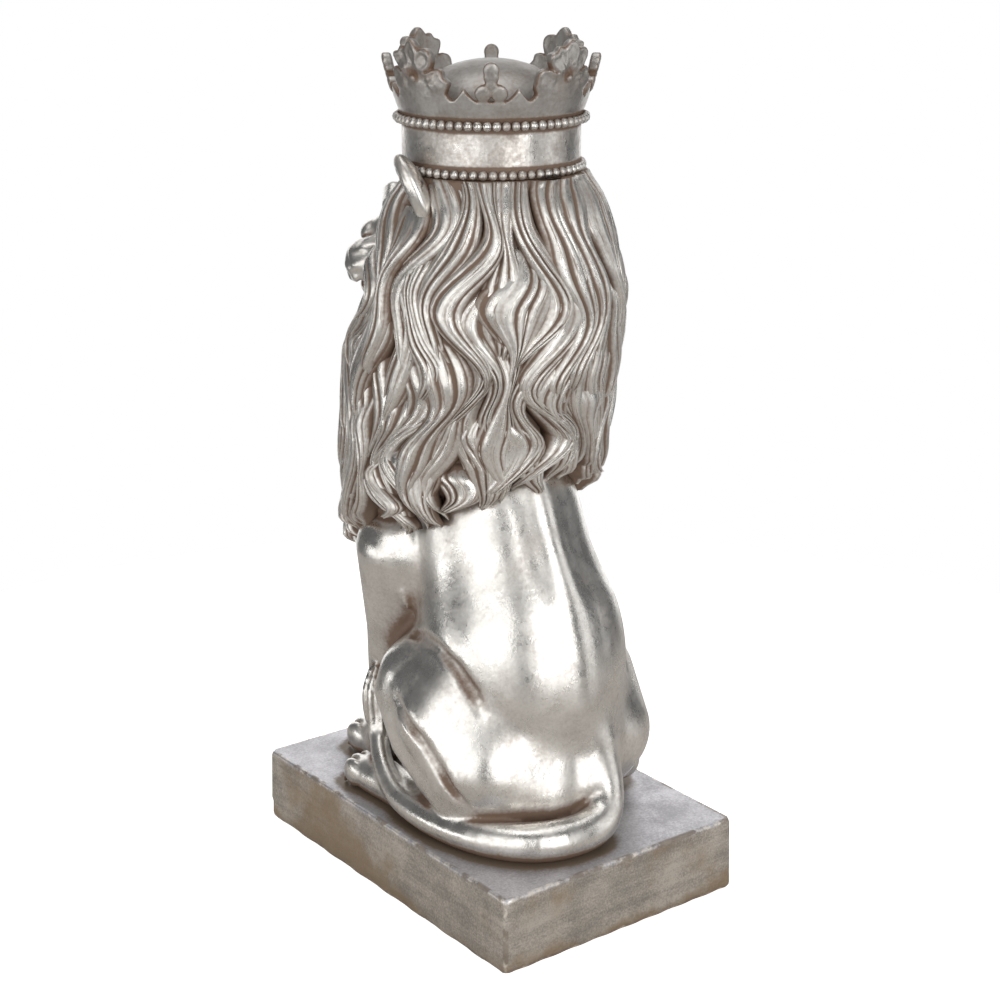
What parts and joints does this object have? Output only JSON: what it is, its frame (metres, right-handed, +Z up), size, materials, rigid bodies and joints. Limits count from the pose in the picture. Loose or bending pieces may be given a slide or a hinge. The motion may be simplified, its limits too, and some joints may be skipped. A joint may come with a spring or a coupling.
{
  "type": "lion sculpture",
  "caption": "Seated lion with a long wavy mane and an open leaf-topped crown, cast in silver leaf over resin, on a plain rectangular plinth.",
  "frame": {"origin": "centre of the plinth's underside", "axes": "+Z up, the lion faces -Y, its left side is +X"},
  "size_m": [0.169, 0.248, 0.4924],
  "materials": {
    "lion": "bright silver leaf with umber wax left in the hollows",
    "crown": "silver leaf, a little duller, with umber wax under the beads",
    "plinth": "dull brushed silver over brown, worn at the edges"
  },
  "bodies": {
    "root": {"plinth": "plinth", "lion": "lion", "crown": "crown"}
  },
  "joints": []
}
